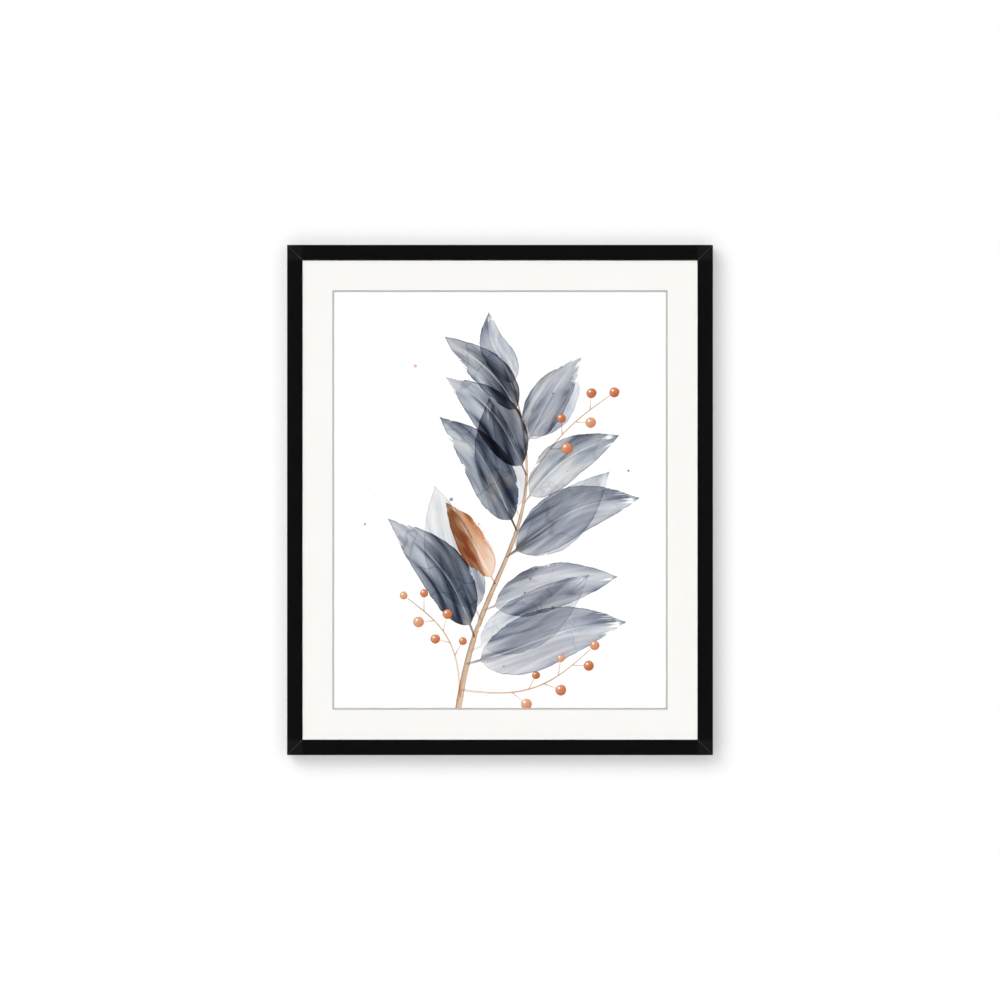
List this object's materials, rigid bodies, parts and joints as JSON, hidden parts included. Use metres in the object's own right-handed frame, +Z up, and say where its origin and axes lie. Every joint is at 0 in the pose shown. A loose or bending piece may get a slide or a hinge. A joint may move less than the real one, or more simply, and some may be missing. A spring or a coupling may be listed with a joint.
{
  "type": "framed picture",
  "caption": "Upright wall picture in a slim black mitred wood frame: glazed, with a wide off-white bevelled mat round a paper print, backed, papered and hung on a sawtooth hanger.",
  "frame": {"origin": "the point of the wall plane level with the apex of the sawtooth hanger's centre notch, where the nail comes out", "axes": "+Z up, +Y into the wall, the picture faces -Y, X across it"},
  "size_m": [0.515, 0.029, 0.617],
  "materials": {
    "frame_wood": "satin black stain",
    "glazing": "clear polished picture glass",
    "mat_board": "matte off-white, with a bevelled edge",
    "print_paper": "matte watercolour-like print",
    "foam_board": "matte",
    "kraft_paper": "matte brown",
    "galvanised_steel": "dull zinc",
    "zinc_plated_steel": "bright zinc plate",
    "bumper_rubber": "matte black"
  },
  "bodies": {
    "root": {"rail_top": "frame_wood", "rail_bottom": "frame_wood", "rail_left": "frame_wood", "rail_right": "frame_wood", "glazing": "glazing", "mat": "mat_board", "print": "print_paper", "backing_board": "foam_board", "point_left_1": "galvanised_steel", "point_left_2": "galvanised_steel", "point_left_3": "galvanised_steel", "point_right_1": "galvanised_steel", "point_right_2": "galvanised_steel", "point_right_3": "galvanised_steel", "point_top_1": "galvanised_steel", "point_top_2": "galvanised_steel", "point_bottom_1": "galvanised_steel", "point_bottom_2": "galvanised_steel", "corner_nail_top_left": "galvanised_steel", "corner_nail_top_right": "galvanised_steel", "corner_nail_bottom_left": "galvanised_steel", "corner_nail_bottom_right": "galvanised_steel", "dust_cover": "kraft_paper", "sawtooth_hanger": "zinc_plated_steel", "hanger_screw_left": "zinc_plated_steel", "hanger_screw_right": "zinc_plated_steel", "bumper_left": "bumper_rubber", "bumper_right": "bumper_rubber"}
  },
  "joints": []
}
